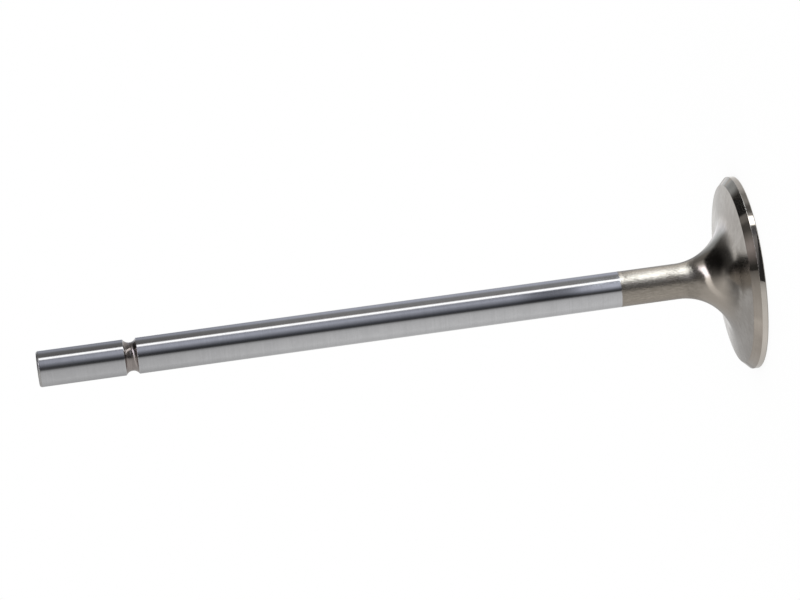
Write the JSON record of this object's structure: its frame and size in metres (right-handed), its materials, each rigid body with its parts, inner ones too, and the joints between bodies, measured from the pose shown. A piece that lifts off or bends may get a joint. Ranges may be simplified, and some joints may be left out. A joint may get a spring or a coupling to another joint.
{
  "type": "engine valve",
  "caption": "Poppet valve with a long ground stem, a keeper groove near the tip, and a tulip-backed head with a ground conical seat, standing on its combustion face.",
  "frame": {"origin": "centre of the combustion face, the flat bottom of the head that the valve stands on", "axes": "+Z along the valve's axis, from the head to the stem tip; +X and +Y are free, because the valve is round"},
  "size_m": [0.0376, 0.0376, 0.138],
  "materials": {
    "valve_steel": "turned heat-resisting steel; stem ground and hard-chrome plated to a bright finish up to the neck, seat ground bright, back of the head satin turned"
  },
  "bodies": {
    "root": {"engine_valve": "valve_steel"}
  },
  "joints": []
}
